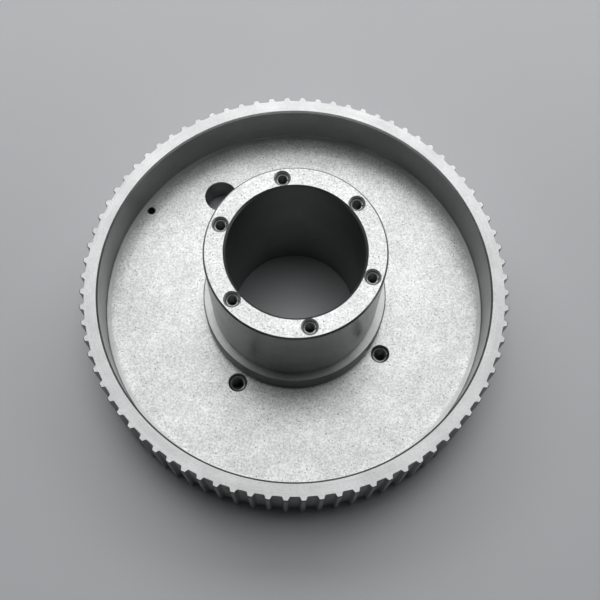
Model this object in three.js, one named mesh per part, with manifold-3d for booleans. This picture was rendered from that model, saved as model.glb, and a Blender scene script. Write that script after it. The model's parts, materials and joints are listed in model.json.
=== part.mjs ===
// Timing belt pulley without flanges: an 80-tooth AT5 rim, a web and a tall hollow hub, all one
// turned piece, and the wire thread inserts that sit in its screw holes.
// Millimetres, +Z up. The origin is on the pulley's axis, in the plane of its flat back face.
import * as THREE from 'three';
import { mergeVertices } from 'three/addons/utils/BufferGeometryUtils.js';
import Module from 'manifold-3d';

const wasm = await Module();
wasm.setup();

// Toothed rim: close to the AT5 profile, with a 5 mm pitch and straight flanks 25 degrees off the
// radius. Its gaps are a little wider than the standard's 2.5 mm.
const TOOTH_COUNT = 80;
const BELT_PITCH = 5;
const TIP_BELOW_PITCH_LINE = 0.615;
const TOOTH_DEPTH = 1.25;
const GAP_FLOOR_WIDTH = 2.65;
const FLANK_SLOPE = Math.tan(THREE.MathUtils.degToRad(25));
const TIP_ROUNDING = 0.25;
const FIRST_TOOTH_ANGLE = -0.9;
const RIM_WIDTH = 25;
const RIM_OUTER_CHAMFER = 0.25;
const TIP_RADIUS = TOOTH_COUNT * BELT_PITCH / (2 * Math.PI) - TIP_BELOW_PITCH_LINE;

// Turned body: the web fills the back of the rim, and the hub stands on it.
const RIM_INNER_RADIUS = 57.75;
const RIM_CHAMFER = 0.5;
const WEB_TOP = 10;
const WEB_CORNER_RADIUS = 0.3;
const COLLAR_RADIUS = 27.5;
const COLLAR_TOP = 17;
const HUB_RADIUS = 25;
const HUB_TOP = 50.5;
const BORE_RADIUS = 19;
const BORE_CHAMFER = 0.6;
const HUB_CHAMFER = 0.5;
const COLLAR_CHAMFER = 0.3;

// Screw holes: each set is spread evenly on a circle, and each hole holds a wire thread insert.
// Depths are measured down from the face that the set is drilled in.
const HUB_SCREWS = {
  name: 'hub_thread_insert',
  count: 6,
  circleRadius: 21.8,
  firstAngle: 41.1,
  faceHeight: HUB_TOP,
  sinkRadius: 2.35,
  holeRadius: 1.95,
  holeDepth: 9,
  throughHole: false,
  insertOuterRadius: 1.83,
  insertBoreRadius: 1.25,
  insertTopDepth: 0.7,
  insertLength: 6,
};
const WEB_SCREWS = {
  name: 'web_thread_insert',
  count: 4,
  circleRadius: 31,
  firstAngle: 58.2,
  faceHeight: WEB_TOP,
  sinkRadius: 2.85,
  holeRadius: 2.55,
  holeDepth: WEB_TOP,
  throughHole: true,
  insertOuterRadius: 2.45,
  insertBoreRadius: 1.65,
  insertTopDepth: 0.7,
  insertLength: 8,
};

// A drill's point is 118 degrees across, so it slopes 31 degrees off the hole's floor.
const DRILL_POINT_SLOPE = Math.tan(THREE.MathUtils.degToRad(31));

// Plain through holes in the web.
const PLAIN_HOLES = [
  { radius: 5, circleRadius: 42.7, angle: 124.9, edgeBreak: 0.15 },
  { radius: 1.2, circleRadius: 54.8, angle: 147.7, edgeBreak: 0.1 },
];

// Fineness of the round shapes, and how far a cutter reaches past the face that it starts at.
const BODY_SEGMENTS = 96;
const PLAIN_HOLE_SEGMENTS = 24;
const SCREW_HOLE_SEGMENTS = 16;
const FILLET_STEPS = 2;
const CUTTER_OVERRUN = 1;

// Corners closer together than this are the same corner.
const SAME_CORNER = 1e-5;

const anodised = new THREE.MeshStandardMaterial({ color: 0xd3d6d6, roughness: 0.45, metalness: 0.9 });
const steelWire = new THREE.MeshStandardMaterial({ color: 0xb9bcbe, roughness: 0.25, metalness: 1 });

// A point at a radius and an angle in degrees, about the pulley's axis.
function polar(radius, angle) {
  const radians = THREE.MathUtils.degToRad(angle);
  return new THREE.Vector2(radius * Math.cos(radians), radius * Math.sin(radians));
}

// A solid turned about Z from a profile of [radius, height] points.
function turned(profile, segments) {
  const points = profile.map(([radius, height]) => new THREE.Vector2(radius, height));
  return new THREE.LatheGeometry(points, segments).rotateX(Math.PI / 2);
}

// The same closed mesh as a manifold solid, without the flat triangles at a lathe's poles.
function toSolid(geometry) {
  const bare = geometry.clone();
  bare.deleteAttribute('normal');
  bare.deleteAttribute('uv');
  const merged = mergeVertices(bare, SAME_CORNER);
  const corners = merged.index.array;
  const kept = [];
  for (let i = 0; i < corners.length; i += 3) {
    const [a, b, c] = [corners[i], corners[i + 1], corners[i + 2]];
    if (a !== b && b !== c && c !== a) kept.push(a, b, c);
  }
  return new wasm.Manifold(new wasm.Mesh({
    numProp: 3,
    vertProperties: new Float32Array(merged.attributes.position.array),
    triVerts: new Uint32Array(kept),
  }));
}

// The triangles of a manifold solid, back as a geometry.
function toGeometry(solid) {
  const mesh = solid.getMesh();
  const geometry = new THREE.BufferGeometry();
  geometry.setAttribute('position', new THREE.BufferAttribute(mesh.vertProperties, 3));
  geometry.setIndex(new THREE.BufferAttribute(mesh.triVerts, 1));
  geometry.computeVertexNormals();
  return geometry;
}

// The two ends of the arc that rounds off a corner between its neighbours.
function roundedCorner(before, corner, after, radius) {
  const toBefore = before.clone().sub(corner).normalize();
  const toAfter = after.clone().sub(corner).normalize();
  const halfAngle = Math.acos(toBefore.dot(toAfter)) / 2;
  const tangent = radius / Math.tan(halfAngle);
  return [toBefore, toAfter].map((side) => corner.clone().addScaledVector(side, tangent));
}

// The rim's outline across the axis: trapezoid teeth with their tip corners taken off.
function toothedOutline() {
  const rootRadius = TIP_RADIUS - TOOTH_DEPTH;
  const toothAngle = 360 / TOOTH_COUNT;
  const halfGap = THREE.MathUtils.radToDeg(GAP_FLOOR_WIDTH / 2 / rootRadius);
  const halfRoot = rootRadius * THREE.MathUtils.degToRad(toothAngle / 2 - halfGap);
  const halfTip = halfRoot - TOOTH_DEPTH * FLANK_SLOPE;
  const points = [];
  for (let tooth = 0; tooth < TOOTH_COUNT; tooth += 1) {
    const angle = FIRST_TOOTH_ANGLE + tooth * toothAngle;
    const outward = polar(1, angle);
    const along = polar(1, angle + 90);
    const place = (side, height) => outward.clone().multiplyScalar(height).addScaledVector(along, side);
    const rootStart = place(-halfRoot, rootRadius);
    const tipStart = place(-halfTip, TIP_RADIUS);
    const tipEnd = place(halfTip, TIP_RADIUS);
    const rootEnd = place(halfRoot, rootRadius);
    points.push(rootStart);
    points.push(...roundedCorner(rootStart, tipStart, tipEnd, TIP_ROUNDING));
    points.push(...roundedCorner(tipStart, tipEnd, rootEnd, TIP_ROUNDING));
    points.push(rootEnd);
  }
  return points;
}

// What the two chamfers on the rim's outer corners leave standing. It is wider than the rim between
// them, so that only the chamfers touch the teeth.
function chamferedEnvelope() {
  const end = TIP_RADIUS - RIM_OUTER_CHAMFER - CUTTER_OVERRUN;
  const wide = TIP_RADIUS + CUTTER_OVERRUN;
  const slope = RIM_OUTER_CHAMFER + CUTTER_OVERRUN;
  return toSolid(turned([
    [0, -CUTTER_OVERRUN],
    [end, -CUTTER_OVERRUN],
    [wide, slope],
    [wide, RIM_WIDTH - slope],
    [end, RIM_WIDTH + CUTTER_OVERRUN],
    [0, RIM_WIDTH + CUTTER_OVERRUN],
  ], 2 * TOOTH_COUNT));
}

function toothedDisc() {
  const shape = new THREE.Shape(toothedOutline());
  const disc = toSolid(new THREE.ExtrudeGeometry(shape, { depth: RIM_WIDTH, bevelEnabled: false }));
  return disc.intersect(chamferedEnvelope());
}

// What is turned away inside the rim, with the corner radius that the tool leaves at the web.
function recessCutter() {
  const top = RIM_WIDTH + CUTTER_OVERRUN;
  const profile = [[0, WEB_TOP]];
  for (let i = 0; i <= FILLET_STEPS; i += 1) {
    const turn = Math.PI / 2 * i / FILLET_STEPS;
    profile.push([
      RIM_INNER_RADIUS - WEB_CORNER_RADIUS * (1 - Math.sin(turn)),
      WEB_TOP + WEB_CORNER_RADIUS * (1 - Math.cos(turn)),
    ]);
  }
  profile.push([RIM_INNER_RADIUS, RIM_WIDTH - RIM_CHAMFER]);
  profile.push([RIM_INNER_RADIUS + RIM_CHAMFER + CUTTER_OVERRUN, top]);
  profile.push([0, top]);
  return toSolid(turned(profile, BODY_SEGMENTS));
}

// The hub and the collar at its foot, without the bore. It starts inside the web.
function hubBlank() {
  return toSolid(turned([
    [0, WEB_TOP / 2],
    [COLLAR_RADIUS, WEB_TOP / 2],
    [COLLAR_RADIUS, COLLAR_TOP - COLLAR_CHAMFER],
    [COLLAR_RADIUS - COLLAR_CHAMFER, COLLAR_TOP],
    [HUB_RADIUS, COLLAR_TOP],
    [HUB_RADIUS, HUB_TOP - HUB_CHAMFER],
    [HUB_RADIUS - HUB_CHAMFER, HUB_TOP],
    [0, HUB_TOP],
  ], BODY_SEGMENTS));
}

// A through hole from z = 0 up to a face, with a 45 degree edge at both ends.
function throughCutter(radius, topFace, edge, segments) {
  const flare = radius + edge + CUTTER_OVERRUN;
  return toSolid(turned([
    [0, -CUTTER_OVERRUN],
    [flare, -CUTTER_OVERRUN],
    [radius, edge],
    [radius, topFace - edge],
    [flare, topFace + CUTTER_OVERRUN],
    [0, topFace + CUTTER_OVERRUN],
  ], segments));
}

// A countersunk screw hole, either right through or blind with a drill point.
function screwHoleCutter(set) {
  const sinkDepth = set.sinkRadius - set.holeRadius;
  const drillPoint = set.holeRadius * DRILL_POINT_SLOPE;
  const floor = set.faceHeight - set.holeDepth;
  const bottom = set.throughHole
    ? [
      [0, floor - CUTTER_OVERRUN],
      [set.sinkRadius + CUTTER_OVERRUN, floor - CUTTER_OVERRUN],
      [set.holeRadius, floor + sinkDepth],
    ]
    : [[0, floor - drillPoint], [set.holeRadius, floor]];
  return toSolid(turned([
    ...bottom,
    [set.holeRadius, set.faceHeight - sinkDepth],
    [set.sinkRadius + CUTTER_OVERRUN, set.faceHeight + CUTTER_OVERRUN],
    [0, set.faceHeight + CUTTER_OVERRUN],
  ], SCREW_HOLE_SEGMENTS));
}

// The places of a set's holes on their circle.
function screwPlaces(set) {
  const places = [];
  for (let i = 0; i < set.count; i += 1) {
    places.push(polar(set.circleRadius, set.firstAngle + i * 360 / set.count));
  }
  return places;
}

function pulleyBody() {
  let body = toothedDisc().subtract(recessCutter()).add(hubBlank());
  body = body.subtract(throughCutter(BORE_RADIUS, HUB_TOP, BORE_CHAMFER, BODY_SEGMENTS));
  for (const set of [HUB_SCREWS, WEB_SCREWS]) {
    const cutter = screwHoleCutter(set);
    for (const place of screwPlaces(set)) {
      body = body.subtract(cutter.translate([place.x, place.y, 0]));
    }
  }
  for (const hole of PLAIN_HOLES) {
    const place = polar(hole.circleRadius, hole.angle);
    const cutter = throughCutter(hole.radius, WEB_TOP, hole.edgeBreak, PLAIN_HOLE_SEGMENTS);
    body = body.subtract(cutter.translate([place.x, place.y, 0]));
  }
  const mesh = new THREE.Mesh(toGeometry(body), anodised);
  mesh.name = 'pulley_body';
  return mesh;
}

// A wire thread insert, drawn as the sleeve that its coils fill, with its top at height 0.
function insertGeometry(set) {
  const lead = (set.insertOuterRadius - set.insertBoreRadius) / 2;
  const middle = set.insertBoreRadius + lead;
  return turned([
    [middle, -set.insertLength],
    [set.insertOuterRadius, -set.insertLength + lead / 2],
    [set.insertOuterRadius, -lead / 2],
    [middle, 0],
    [set.insertBoreRadius, -lead / 2],
    [set.insertBoreRadius, -set.insertLength + lead / 2],
    [middle, -set.insertLength],
  ], SCREW_HOLE_SEGMENTS);
}

function threadInserts(set) {
  const group = new THREE.Group();
  screwPlaces(set).forEach((place, index) => {
    const mesh = new THREE.Mesh(insertGeometry(set), steelWire);
    mesh.name = `${set.name}_${index + 1}`;
    mesh.position.set(place.x, place.y, set.faceHeight - set.insertTopDepth);
    group.add(mesh);
  });
  return group;
}

const pulley = new THREE.Group();
pulley.add(pulleyBody());
pulley.add(threadInserts(HUB_SCREWS));
pulley.add(threadInserts(WEB_SCREWS));

export default pulley;
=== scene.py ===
import json
import math

import bmesh
import bpy
from mathutils import Matrix, Vector

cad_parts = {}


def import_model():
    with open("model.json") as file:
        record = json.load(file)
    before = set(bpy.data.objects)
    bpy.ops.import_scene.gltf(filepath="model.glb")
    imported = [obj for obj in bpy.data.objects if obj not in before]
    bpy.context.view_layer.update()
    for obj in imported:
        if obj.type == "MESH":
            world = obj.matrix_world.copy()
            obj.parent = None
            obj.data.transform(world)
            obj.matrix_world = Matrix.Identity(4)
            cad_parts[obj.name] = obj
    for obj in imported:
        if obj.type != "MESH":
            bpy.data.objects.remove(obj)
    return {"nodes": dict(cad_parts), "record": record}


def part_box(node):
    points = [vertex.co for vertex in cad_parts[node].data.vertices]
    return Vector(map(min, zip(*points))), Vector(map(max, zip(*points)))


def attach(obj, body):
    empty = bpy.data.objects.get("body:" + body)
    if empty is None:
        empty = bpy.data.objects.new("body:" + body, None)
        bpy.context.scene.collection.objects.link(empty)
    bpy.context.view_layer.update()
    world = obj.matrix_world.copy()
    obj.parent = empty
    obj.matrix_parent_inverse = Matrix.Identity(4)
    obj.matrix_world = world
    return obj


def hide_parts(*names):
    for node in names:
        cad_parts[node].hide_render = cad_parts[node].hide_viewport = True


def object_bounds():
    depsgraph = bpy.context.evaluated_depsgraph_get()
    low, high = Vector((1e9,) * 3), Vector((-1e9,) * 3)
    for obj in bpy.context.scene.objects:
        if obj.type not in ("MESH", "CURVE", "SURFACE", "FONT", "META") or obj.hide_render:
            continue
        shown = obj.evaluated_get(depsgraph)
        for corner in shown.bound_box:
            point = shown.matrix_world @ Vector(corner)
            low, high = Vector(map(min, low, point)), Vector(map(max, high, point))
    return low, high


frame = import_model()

cad_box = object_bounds()

MM = 0.001
TURN = 2 * math.pi

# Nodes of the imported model.
BODY_NODE = "pulley_body"
HUB_INSERT_COUNT = 6
WEB_INSERT_COUNT = 4
HUB_INSERTS = [f"hub_thread_insert_{i + 1}" for i in range(HUB_INSERT_COUNT)]
WEB_INSERTS = [f"web_thread_insert_{i + 1}" for i in range(WEB_INSERT_COUNT)]

# Shares of the tip radius that tell the rim's corners, and the hub's and collar's, from the rest,
# and how far past a face a corner has to be to count as clear of it.
RIM_SHARE = 0.9
HUB_SHARE = 0.6
CLEAR_OF_FACE = 1 * MM

# Belt teeth, close to the AT5 profile.
TOOTH_COUNT = 80
TOOTH_DEPTH = 1.25 * MM
GAP_FLOOR_WIDTH = 2.65 * MM
FLANK_LEAN = math.radians(25)
FIRST_TOOTH_ANGLE = math.radians(-0.9)
TIP_ROUNDING = 0.25 * MM
ROOT_ROUNDING = 0.3 * MM
TOOTH_END_BREAK = 0.08 * MM
RIM_OUTER_CHAMFER = 0.25 * MM

# Small turned features.
RIM_CHAMFER = 0.5 * MM
COLLAR_CHAMFER = 0.3 * MM
HUB_CHAMFER = 0.5 * MM
BORE_CHAMFER = 0.6 * MM
WEB_CORNER_RADIUS = 0.3 * MM
CORNER_RELIEF_WIDTH = 1.2 * MM
CORNER_RELIEF_RISE = 0.05 * MM
TOOL_GROOVE_RADIUS = 54.5 * MM
TOOL_GROOVE_HALF_WIDTH = 0.3 * MM
TOOL_GROOVE_DEPTH = 0.03 * MM
SEAT_UNDERCUT_WIDTH = 0.45 * MM
SEAT_UNDERCUT_DEPTH = 0.12 * MM

# Holes: the screw holes take their places from the inserts, and the plain ones stand in the web,
# at an angle in degrees from +X.
HUB_SINK_RADIUS = 2.35 * MM
WEB_SINK_RADIUS = 2.85 * MM
HOLE_CLEARANCE = 0.02 * MM
BLIND_DEPTH = 9 * MM
DRILL_POINT_SLOPE = math.tan(math.radians(31))
DRILL_TIP_SHARE = 0.05
PLAIN_HOLES = [
    {"radius": 5 * MM, "circle": 42.7 * MM, "angle": 124.9, "edge": 0.15 * MM},
    {"radius": 1.2 * MM, "circle": 54.8 * MM, "angle": 147.7, "edge": 0.1 * MM},
]

# Fineness of the round shapes, and how far a cutter reaches past a face.
RIM_SEGMENTS = 360
HUB_SEGMENTS = 256
HOLE_SEGMENTS = 64
ARC_STEPS = 3
FILLET_STEPS = 8
OVERRUN = 1 * MM

# Edges that turn by more than these are creases, and large flat faces set the shading beside them.
BODY_CREASE = math.radians(28)
COIL_CREASE = math.radians(50)
FACE_AREA_WEIGHT = 100

# The order of the body's materials.
BLASTED, FACED, WALL, HUB_WALL, TOOTH, HOLE, RELIEF, EDGE = range(8)


def polar(radius, angle, height=0.0):
    return Vector((radius * math.cos(angle), radius * math.sin(angle), height))


def measured():
    """The body's sizes, read from the corners of the CAD solid and from the mounts."""
    corners = [(v.co.xy.length, v.co.z) for v in frame["nodes"][BODY_NODE].data.vertices]
    mounts = {m["name"]: m["pos_m"][2] for m in frame["record"]["mounts"]}
    tip = cad_box[1].x
    web_top = mounts["web_face"]
    collar_top = mounts["bearing_shoulder"]
    rim_top = max(z for r, z in corners if r > RIM_SHARE * tip)
    lowest, highest = web_top + CLEAR_OF_FACE, rim_top - RIM_CHAMFER / 2
    in_recess = [(r, z) for r, z in corners if lowest < z < highest]
    wall_limit = tip - TOOTH_DEPTH - CLEAR_OF_FACE
    return {
        "tip": tip,
        "rim_top": rim_top,
        "web_top": web_top,
        "collar_top": collar_top,
        "hub_top": mounts["hub_end_face"],
        "hub": max(r for r, z in corners if z > rim_top + CLEAR_OF_FACE),
        "collar": max(r for r, z in in_recess if z <= collar_top and r < HUB_SHARE * tip),
        "rim_inner": max(r for r, z in in_recess if HUB_SHARE * tip < r < wall_limit),
        "bore": min(r for r, z in corners),
    }


def rounded(corners, steps):
    """A closed outline of (point, radius) corners, each replaced by an arc of that radius."""
    points = []
    for i, (corner, radius) in enumerate(corners):
        before = (corners[i - 1][0] - corner).normalized()
        after = (corners[(i + 1) % len(corners)][0] - corner).normalized()
        half = before.angle(after) / 2
        middle = corner + (before + after).normalized() * (radius / math.sin(half))
        start = corner + before * (radius / math.tan(half)) - middle
        end = corner + after * (radius / math.tan(half)) - middle
        for step in range(steps + 1):
            points.append(middle + start.slerp(end, step / steps).normalized() * radius)
    return points


def tooth_corners(tip, inset):
    """The corners of the rim's outline, all moved inwards by the inset."""
    root = tip - TOOTH_DEPTH
    half_gap = GAP_FLOOR_WIDTH / 2 / root
    half_root = root * (math.pi / TOOTH_COUNT - half_gap)
    half_tip = half_root - TOOTH_DEPTH * math.tan(FLANK_LEAN)
    # Moving the flank and the land by the inset moves their common corner along the land by this.
    tip_shift = inset * (1 - math.sin(FLANK_LEAN)) / math.cos(FLANK_LEAN)
    corners = []
    for tooth in range(TOOTH_COUNT):
        angle = FIRST_TOOTH_ANGLE + tooth * TURN / TOOTH_COUNT
        outward = polar(1, angle)
        along = polar(1, angle + TURN / 4)
        for side, height, radius in (
            (-half_root + tip_shift, root - inset, ROOT_ROUNDING + inset),
            (-half_tip + tip_shift, tip - inset, TIP_ROUNDING - inset),
            (half_tip - tip_shift, tip - inset, TIP_ROUNDING - inset),
            (half_root - tip_shift, root - inset, ROOT_ROUNDING + inset),
        ):
            corners.append((outward * height + along * side, radius))
    return corners


def circle(radius, height, segments):
    return [polar(radius, TURN * i / segments, height) for i in range(segments)]


def as_object(name, mesh):
    data = bpy.data.meshes.new(name)
    mesh.to_mesh(data)
    mesh.free()
    made = bpy.data.objects.new(name, data)
    bpy.context.scene.collection.objects.link(made)
    return made


def stacked(name, loops, finishes):
    """A closed solid through closed loops of points, from the first cap to the last. The first
    finish is for both caps, and the others are for the bands between the loops."""
    mesh = bmesh.new()
    rings = [[mesh.verts.new(point) for point in loop] for loop in loops]
    for cap in (mesh.faces.new(reversed(rings[0])), mesh.faces.new(rings[-1])):
        cap.material_index = finishes[0]
    for low, high, finish in zip(rings, rings[1:], finishes[1:]):
        for i in range(len(low)):
            j = (i + 1) % len(low)
            face = mesh.faces.new((low[i], low[j], high[j], high[i]))
            face.material_index = finish
    bmesh.ops.recalc_face_normals(mesh, faces=mesh.faces)
    return as_object(name, mesh)


def turned(name, profile, segments, finishes):
    """A solid turned about Z. The profile runs from the lowest cap to the highest."""
    return stacked(name, [circle(r, z, segments) for r, z in profile], finishes)


def combine(base, other, operation, place=(0, 0, 0)):
    """Joins, cuts or trims the base with the other solid, which is moved to the place and kept."""
    other.location = place
    bpy.context.view_layer.update()
    modifier = base.modifiers.new(operation, "BOOLEAN")
    modifier.operation = operation
    modifier.solver = "MANIFOLD"
    modifier.object = other
    depsgraph = bpy.context.evaluated_depsgraph_get()
    result = bpy.data.meshes.new_from_object(base.evaluated_get(depsgraph))
    base.modifiers.clear()
    base.data = result


def discard(piece):
    bpy.data.objects.remove(piece, do_unlink=True)


def toothed_disc(size):
    """The rim's outline filled to its full height, with every edge at both ends slightly broken."""
    levels = (
        (0, TOOTH_END_BREAK),
        (TOOTH_END_BREAK, 0),
        (size["rim_top"] - TOOTH_END_BREAK, 0),
        (size["rim_top"], TOOTH_END_BREAK),
    )
    loops = []
    for height, inset in levels:
        outline = rounded(tooth_corners(size["tip"], inset), ARC_STEPS)
        loops.append([point + Vector((0, 0, height)) for point in outline])
    return stacked("machined_body", loops, [FACED, TOOTH, TOOTH, TOOTH])


def chamfered_envelope(size):
    """What the chamfers on the rim's outer corners leave standing, wider than the rim between."""
    end = size["tip"] - RIM_OUTER_CHAMFER - OVERRUN
    wide = size["tip"] + OVERRUN
    slope = RIM_OUTER_CHAMFER + OVERRUN
    profile = [
        (end, -OVERRUN),
        (wide, slope),
        (wide, size["rim_top"] - slope),
        (end, size["rim_top"] + OVERRUN),
    ]
    return turned("chamfered_envelope", profile, RIM_SEGMENTS, [EDGE] * len(profile))


def recess_cutter(size):
    """What is turned away inside the rim, down to the web. From the middle outwards, it leaves a
    tool groove, a raised relief, the corner's radius, the rim's wall and its chamfer."""
    wall, web = size["rim_inner"], size["web_top"]
    foot = wall - WEB_CORNER_RADIUS
    profile = [
        (TOOL_GROOVE_RADIUS - TOOL_GROOVE_HALF_WIDTH, web),
        (TOOL_GROOVE_RADIUS, web - TOOL_GROOVE_DEPTH),
        (TOOL_GROOVE_RADIUS + TOOL_GROOVE_HALF_WIDTH, web),
        (foot - CORNER_RELIEF_WIDTH, web),
        (foot, web + CORNER_RELIEF_RISE),
    ]
    for step in range(1, FILLET_STEPS + 1):
        turn = TURN / 4 * step / FILLET_STEPS
        profile.append((
            foot + WEB_CORNER_RADIUS * math.sin(turn),
            web + CORNER_RELIEF_RISE + WEB_CORNER_RADIUS * (1 - math.cos(turn)),
        ))
    profile.append((wall, size["rim_top"] - RIM_CHAMFER))
    profile.append((wall + RIM_CHAMFER + OVERRUN, size["rim_top"] + OVERRUN))
    finishes = [BLASTED] * 4 + [RELIEF] + [WALL] * (FILLET_STEPS + 1) + [EDGE]
    return turned("recess_cutter", profile, RIM_SEGMENTS, finishes)


def hub_blank(size):
    """The hub and the collar at its foot, without the bore. It starts inside the web."""
    collar, hub = size["collar"], size["hub"]
    low, high = size["collar_top"], size["hub_top"]
    profile = [
        (collar, size["web_top"] / 2),
        (collar, low - COLLAR_CHAMFER),
        (collar - COLLAR_CHAMFER, low),
        (hub - SEAT_UNDERCUT_DEPTH, low),
        (hub - SEAT_UNDERCUT_DEPTH, low + SEAT_UNDERCUT_WIDTH - SEAT_UNDERCUT_DEPTH),
        (hub, low + SEAT_UNDERCUT_WIDTH),
        (hub, high - HUB_CHAMFER),
        (hub - HUB_CHAMFER, high),
    ]
    finishes = [BLASTED, WALL, WALL, FACED, WALL, HUB_WALL, HUB_WALL, EDGE]
    return turned("hub_blank", profile, HUB_SEGMENTS, finishes)


def through_cutter(name, radius, top, edge, segments):
    """A through hole from z = 0 up to a face, with the same 45 degree edge at both ends."""
    profile = [
        (radius + edge + OVERRUN, -OVERRUN),
        (radius, edge),
        (radius, top - edge),
        (radius + edge + OVERRUN, top + OVERRUN),
    ]
    return turned(name, profile, segments, [HOLE] * len(profile))


def blind_cutter(name, radius, top, sink):
    """A countersunk screw hole with a drill point."""
    floor = top - BLIND_DEPTH
    profile = [
        (radius * DRILL_TIP_SHARE, floor - radius * DRILL_POINT_SLOPE),
        (radius, floor),
        (radius, top - (sink - radius)),
        (sink + OVERRUN, top + OVERRUN),
    ]
    return turned(name, profile, HOLE_SEGMENTS, [HOLE, HOLE, HOLE, FACED])


def insert_place(node):
    """The middle of an insert's top, its outer radius and its length."""
    low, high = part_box(node)
    middle = (low + high) / 2
    return Vector((middle.x, middle.y, high.z)), (high.x - low.x) / 2, high.z - low.z


def hole_radius(node):
    return insert_place(node)[1] + HOLE_CLEARANCE


def cut_holes(body, size):
    """Cuts the bore, the screw holes of both sets of inserts and the plain holes."""
    hub_top, web_top = size["hub_top"], size["web_top"]
    bore = through_cutter("bore", size["bore"], hub_top, BORE_CHAMFER, HUB_SEGMENTS)
    hub_hole = blind_cutter("hub_hole", hole_radius(HUB_INSERTS[0]), hub_top, HUB_SINK_RADIUS)
    radius = hole_radius(WEB_INSERTS[0])
    web_hole = through_cutter("web_hole", radius, web_top, WEB_SINK_RADIUS - radius, HOLE_SEGMENTS)
    cutters = [
        (bore, [Vector()]),
        (hub_hole, [insert_place(node)[0] for node in HUB_INSERTS]),
        (web_hole, [insert_place(node)[0] for node in WEB_INSERTS]),
    ]
    for hole in PLAIN_HOLES:
        cutter = through_cutter("plain_hole", hole["radius"], web_top, hole["edge"], HOLE_SEGMENTS)
        cutters.append((cutter, [polar(hole["circle"], math.radians(hole["angle"]))]))
    for cutter, places in cutters:
        for place in places:
            combine(body, cutter, "DIFFERENCE", (place.x, place.y, 0))
        discard(cutter)


def give_materials(body, materials):
    """Fills the body's slots in place, because clearing them first would reset its finishes."""
    slots = body.data.materials
    while len(slots) < len(materials):
        slots.append(None)
    for index, material in enumerate(materials):
        slots[index] = material


def machined_body(size, materials):
    body = toothed_disc(size)
    for maker, operation in (
        (chamfered_envelope, "INTERSECT"),
        (recess_cutter, "DIFFERENCE"),
        (hub_blank, "UNION"),
    ):
        other = maker(size)
        combine(body, other, operation)
        discard(other)
    cut_holes(body, size)
    give_materials(body, materials)
    body.data.shade_smooth()
    body.data.set_sharp_from_angle(angle=BODY_CREASE)
    weighted = body.modifiers.new("flat_faces_stay_flat", "WEIGHTED_NORMAL")
    weighted.keep_sharp = True
    weighted.weight = FACE_AREA_WEIGHT
    return body


# Wire thread inserts: a coil of wire whose section is a rhombus, cut flat at the bore and at the
# outside, with rounded corners. The wire's sizes are shares of the thread's pitch.
WIRE_HALF_LAND = 0.1
WIRE_HALF_WIDTH = 0.43
WIRE_ROUNDING = 0.05
POINTS_PER_TURN = 32
HUB_THREAD_PITCH = 0.5 * MM
WEB_THREAD_PITCH = 0.7 * MM
HUB_THREAD_BORE = 1.25 * MM
WEB_THREAD_BORE = 1.65 * MM


def wire_section(bore, outer, pitch):
    """The wire's outline as (radius, 0, height) points round its own middle height."""
    middle = (bore + outer) / 2
    land, width = WIRE_HALF_LAND * pitch, WIRE_HALF_WIDTH * pitch
    lower_side = [(bore, -land), (middle, -width), (outer, -land)]
    upper_side = [(outer, land), (middle, width), (bore, land)]
    corners = [(Vector((r, 0, z)), WIRE_ROUNDING * pitch) for r, z in lower_side + upper_side]
    return rounded(corners, 1)


def thread_insert(name, node, bore, pitch, material):
    """A coil of wire that winds down from the insert's top to its foot."""
    top, outer, length = insert_place(node)
    section = wire_section(bore, outer, pitch)
    half_wire = WIRE_HALF_WIDTH * pitch
    turns = (length - 2 * half_wire) / pitch
    steps = round(turns * POINTS_PER_TURN)
    loops = []
    for step in range(steps + 1):
        turn = Matrix.Rotation(TURN * step / POINTS_PER_TURN, 3, "Z")
        drop = half_wire + pitch * step / POINTS_PER_TURN
        centre = top - Vector((0, 0, drop))
        loops.append([centre + turn @ point for point in section])
    coil = stacked(name, loops, [0] * len(loops))
    coil.data.materials.append(material)
    coil.data.shade_smooth()
    coil.data.set_sharp_from_angle(angle=COIL_CREASE)
    return coil


# Materials: the sizes of the marks, and the span of the noise that each of them is drawn from.
GRAIN_SIZE = 0.6 * MM
PIT_SIZE = 0.5 * MM
BLOTCH_SIZE = 2.2 * MM
CLOUD_SIZE = 11 * MM
MARK_SIZE = 0.16 * MM
STAIN_SIZE = 0.8 * MM
GRAIN_SPAN = (0.36, 0.64)
PIT_SPAN = (0.26, 0.36)
BLOTCH_SPAN = (0.35, 0.65)
WIDE_SPAN = (0.3, 0.7)
CLOUD_DEPTH = 0.13
# A turning mark runs round the axis by about this angle, in radians.
MARK_LENGTH = 0.5
MARK_RELIEF = 0.03
BUMP_DISTANCE = 0.1 * MM
# How much smoother and rougher than its own roughness the aluminium is, from point to point.
SMOOTHER = 0.05
ROUGHER = 0.07
# The rest of the light is scattered evenly by the anodised layer.
METAL_SHARE = 0.78


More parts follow.
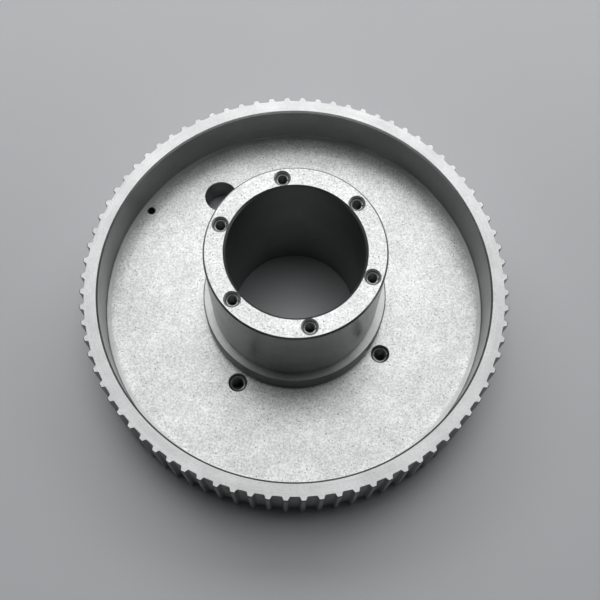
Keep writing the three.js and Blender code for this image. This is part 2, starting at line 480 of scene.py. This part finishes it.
class Nodes:
    """A material's node tree, with short ways to add and join nodes."""

    def __init__(self, name):
        self.material = bpy.data.materials.new(name)
        self.material.use_nodes = True
        self.tree = self.material.node_tree
        self.shader = self.tree.nodes["Principled BSDF"]
        self.place = self.add("ShaderNodeTexCoord").outputs["Object"]

    def add(self, kind, settings=None, **inputs):
        made = self.tree.nodes.new(kind)
        for key, value in (settings or {}).items():
            setattr(made, key, value)
        for key, value in inputs.items():
            self.feed(made.inputs[key.replace("_", " ")], value)
        return made

    def feed(self, socket, value):
        if isinstance(value, bpy.types.NodeSocket):
            self.tree.links.new(value, socket)
        else:
            socket.default_value = value

    def math(self, operation, first, second=0.0):
        made = self.tree.nodes.new("ShaderNodeMath")
        made.operation = operation
        self.feed(made.inputs[0], first)
        self.feed(made.inputs[1], second)
        return made.outputs[0]

    def remap(self, value, span, to_low, to_high):
        """The value, smoothly carried from the span of two numbers to two others."""
        made = self.add("ShaderNodeMapRange", {"interpolation_type": "SMOOTHSTEP"})
        for socket, given in zip(made.inputs[:5], (value, *span, to_low, to_high)):
            self.feed(socket, given)
        return made.outputs[0]

    def noise(self, vector, size, detail=2.0, roughness=0.6):
        kind = "ShaderNodeTexNoise"
        made = self.add(kind, Vector=vector, Scale=1 / size, Detail=detail, Roughness=roughness)
        return made.outputs["Fac"]

    def colour(self, colour, shade):
        """Gives the shader the colour, scaled by a shade that differs from point to point."""
        tint = self.add("ShaderNodeVectorMath", {"operation": "SCALE"}, Scale=shade)
        tint.inputs[0].default_value = colour
        self.feed(self.shader.inputs["Base Color"], tint.outputs[0])


def turning_coordinates(nodes):
    """The radius, angle in radians and height of the shaded point, for marks round the axis."""
    split = nodes.add("ShaderNodeSeparateXYZ", Vector=nodes.place)
    x, y, z = split.outputs
    squares = nodes.math("ADD", nodes.math("MULTIPLY", x, x), nodes.math("MULTIPLY", y, y))
    radius = nodes.math("SQRT", squares)
    angle = nodes.math("ARCTAN2", y, x)
    return radius, angle, z


def turning_marks(nodes, on_ring):
    """Fine lines round the axis. They differ with the radius on a ring, or with the height."""
    radius, angle, height = turning_coordinates(nodes)
    along = nodes.math("MULTIPLY", angle, MARK_SIZE / MARK_LENGTH)
    place = nodes.add("ShaderNodeCombineXYZ", X=radius if on_ring else height, Y=along)
    return nodes.noise(place.outputs[0], MARK_SIZE, 2.0, 0.7)


def aluminium(name, colour, roughness, grain, speck, bump, ring_marks=0.0, height_marks=0.0):
    """Blasted or turned aluminium under clear anodising. Grain says how much darker the fine
    mottling is, and a third of it how much darker the blotches are. Speck does so for the sparse
    pits, and the marks for the fine lines round the axis, in turned rings or up a turned wall."""
    nodes = Nodes(name)
    mottle = nodes.noise(nodes.place, GRAIN_SIZE, 3.0, 0.65)
    fine = nodes.noise(nodes.place, GRAIN_SIZE / 3, 2.0, 0.7)
    pits = nodes.noise(nodes.place, PIT_SIZE, 1.0, 0.5)
    blotch = nodes.noise(nodes.place, BLOTCH_SIZE)
    cloud = nodes.noise(nodes.place, CLOUD_SIZE, 3.0)
    marks = turning_marks(nodes, on_ring=bool(ring_marks))
    mark_depth = max(ring_marks, height_marks)
    shade = 1.0
    for texture, span, depth in (
        (mottle, GRAIN_SPAN, grain),
        (pits, PIT_SPAN, speck),
        (blotch, BLOTCH_SPAN, grain / 3),
        (cloud, WIDE_SPAN, CLOUD_DEPTH),
        (marks, WIDE_SPAN, mark_depth),
    ):
        shade = nodes.math("MULTIPLY", shade, nodes.remap(texture, span, 1 - depth, 1.0))
    nodes.colour(colour, shade)
    gloss = nodes.remap(fine, WIDE_SPAN, roughness - SMOOTHER, roughness + ROUGHER)
    nodes.feed(nodes.shader.inputs["Roughness"], gloss)
    coarse_relief = nodes.math("MULTIPLY", mottle, bump)
    fine_relief = nodes.math("MULTIPLY", fine, bump / 2)
    mark_relief = nodes.math("MULTIPLY", marks, mark_depth * MARK_RELIEF)
    relief = nodes.math("ADD", nodes.math("ADD", coarse_relief, fine_relief), mark_relief)
    bumps = nodes.add("ShaderNodeBump", Strength=1.0, Distance=BUMP_DISTANCE, Height=relief)
    nodes.feed(nodes.shader.inputs["Normal"], bumps.outputs[0])
    nodes.shader.inputs["Metallic"].default_value = METAL_SHARE
    return nodes.material


def insert_wire():
    """Bright stainless wire with a slight stain."""
    nodes = Nodes("insert_wire")
    stain = nodes.noise(nodes.place, STAIN_SIZE)
    nodes.colour((0.6, 0.61, 0.62), nodes.remap(stain, WIDE_SPAN, 0.8, 1.0))
    nodes.feed(nodes.shader.inputs["Roughness"], nodes.remap(stain, WIDE_SPAN, 0.34, 0.46))
    nodes.shader.inputs["Metallic"].default_value = 1.0
    return nodes.material


def body_materials():
    """In the order of BLASTED, FACED, WALL, HUB_WALL, TOOTH, HOLE, RELIEF and EDGE. The numbers
    are the roughness, grain, speck and bump."""
    bright = (0.85, 0.87, 0.87)
    pale = (0.93, 0.947, 0.944)
    # Painted shade, lighter than on the other walls: the hub's wall is painted lighter where it
    # catches light, and the relief at the foot of the rim's wall is painted darker than the faces
    # where shade falls in the corner.
    grey = (0.74, 0.757, 0.755)
    # Painted shade: the turned walls, tooth flanks and cut edges are the same aluminium as the
    # faces, painted much darker because their sides face away from the light.
    painted_shade_grey = (0.44, 0.45, 0.445)
    # Painted shade: the holes' walls and edges are the same aluminium, painted darker still for the
    # shade inside the recesses.
    dark = (0.34, 0.35, 0.345)
    return [
        aluminium("blasted_face", pale, 0.34, 0.28, 0.90, 0.14, ring_marks=0.08),
        aluminium("turned_face", bright, 0.40, 0.08, 0.20, 0.05, ring_marks=0.14),
        aluminium("turned_wall", painted_shade_grey, 0.36, 0.06, 0.08, 0.02, height_marks=0.14),
        aluminium("hub_wall", grey, 0.28, 0.06, 0.10, 0.02, height_marks=0.14),
        aluminium("tooth_flank", painted_shade_grey, 0.40, 0.08, 0.08, 0.03, height_marks=0.04),
        aluminium("drilled_hole", dark, 0.36, 0.08, 0.10, 0.03, height_marks=0.12),
        aluminium("turned_relief", grey, 0.40, 0.08, 0.10, 0.04, ring_marks=0.12),
        aluminium("cut_edge", painted_shade_grey, 0.22, 0.04, 0.04, 0.01, ring_marks=0.03),
    ]


# Stage and light. A panel's radiance is in watts per square metre and steradian.
FLOOR_HALF = 2.0
FLOOR_COLOUR = (0.76, 0.785, 0.81)
FLOOR_CLOUD_SIZE = 60 * MM
LIGHT_DISTANCE = 2.0
KEY_LIGHT = 2.0
CARD_SIZE = (1.6, 1.0)
SKY_COLOUR = (0.95, 0.98, 1.0, 1)
SKY_STRENGTH = 0.01

# Camera: it stands in front of the pulley and looks steeply down at it.
VIEW_ELEVATION = math.radians(70.4)
VIEW_AZIMUTH = math.radians(-1)
VIEW_DISTANCE = 0.271
VIEW_AIM = (1.6 * MM, -5 * MM)
VIEW_ROLL = math.radians(2.4)
VIEW_LENS = 55.7
NEAREST_SEEN = 0.01
FARTHEST_SEEN = 10


def floor():
    """A wide pale floor with a soft sheen, level with the pulley's back face."""
    nodes = Nodes("studio_floor")
    cloud = nodes.noise(nodes.place, FLOOR_CLOUD_SIZE, 2.0, 0.5)
    nodes.colour(FLOOR_COLOUR, nodes.remap(cloud, WIDE_SPAN, 0.98, 1.0))
    nodes.shader.inputs["Roughness"].default_value = 0.4
    nodes.shader.inputs["Specular IOR Level"].default_value = 1.0
    mesh = bmesh.new()
    bmesh.ops.create_grid(mesh, x_segments=1, y_segments=1, size=FLOOR_HALF)
    plane = as_object("floor", mesh)
    plane.location.z = cad_box[0].z
    plane.data.materials.append(nodes.material)


def panel(name, azimuth, elevation, extent, radiance):
    """A soft rectangular light that shines at the pulley, azimuth counted from +X."""
    width, height = extent
    light = bpy.data.lights.new(name, "AREA")
    light.shape = "RECTANGLE"
    light.size = width
    light.size_y = height
    light.energy = math.pi * width * height * radiance
    lamp = bpy.data.objects.new(name, light)
    rise = math.radians(elevation)
    away = polar(math.cos(rise), math.radians(azimuth), math.sin(rise))
    lamp.location = away * LIGHT_DISTANCE
    lamp.rotation_euler = away.to_track_quat("Z", "Y").to_euler()
    bpy.context.scene.collection.objects.link(lamp)


def studio_lights():
    """A wide low key and an upper card behind the pulley, and weak cards on the other sides."""
    panel("key", 90, 44, (3.6, 1.0), KEY_LIGHT)
    panel("upper_card", 90, 75, (1.2, 1.0), KEY_LIGHT)
    panel("right_card", 0, 20, CARD_SIZE, KEY_LIGHT / 6)
    panel("left_card", 180, 20, CARD_SIZE, KEY_LIGHT / 12)
    panel("front_card", -90, 30, CARD_SIZE, KEY_LIGHT / 40)


def world():
    sky = bpy.data.worlds.new("studio")
    sky.use_nodes = True
    background = sky.node_tree.nodes["Background"]
    background.inputs["Color"].default_value = SKY_COLOUR
    background.inputs["Strength"].default_value = SKY_STRENGTH
    bpy.context.scene.world = sky


def camera(size):
    data = bpy.data.cameras.new("camera")
    data.lens = VIEW_LENS
    data.clip_start = NEAREST_SEEN
    data.clip_end = FARTHEST_SEEN
    made = bpy.data.objects.new("camera", data)
    back = Vector((
        math.sin(VIEW_AZIMUTH) * math.cos(VIEW_ELEVATION),
        -math.cos(VIEW_AZIMUTH) * math.cos(VIEW_ELEVATION),
        math.sin(VIEW_ELEVATION),
    ))
    made.location = Vector((*VIEW_AIM, size["rim_top"])) + back * VIEW_DISTANCE
    aim = back.to_track_quat("Z", "Y").to_matrix()
    made.rotation_euler = (aim @ Matrix.Rotation(VIEW_ROLL, 3, "Z")).to_euler()
    bpy.context.scene.collection.objects.link(made)
    bpy.context.scene.camera = made


size = measured()
body = machined_body(size, body_materials())
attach(body, "root")
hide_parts(BODY_NODE)

wire = insert_wire()
for nodes_of_set, bore, pitch in (
    (HUB_INSERTS, HUB_THREAD_BORE, HUB_THREAD_PITCH),
    (WEB_INSERTS, WEB_THREAD_BORE, WEB_THREAD_PITCH),
):
    for node in nodes_of_set:
        coil = thread_insert(node.replace("insert", "coil"), node, bore, pitch, wire)
        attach(coil, "root")
        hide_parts(node)

floor()
world()
studio_lights()
camera(size)
bpy.context.scene.view_settings.view_transform = "Standard"
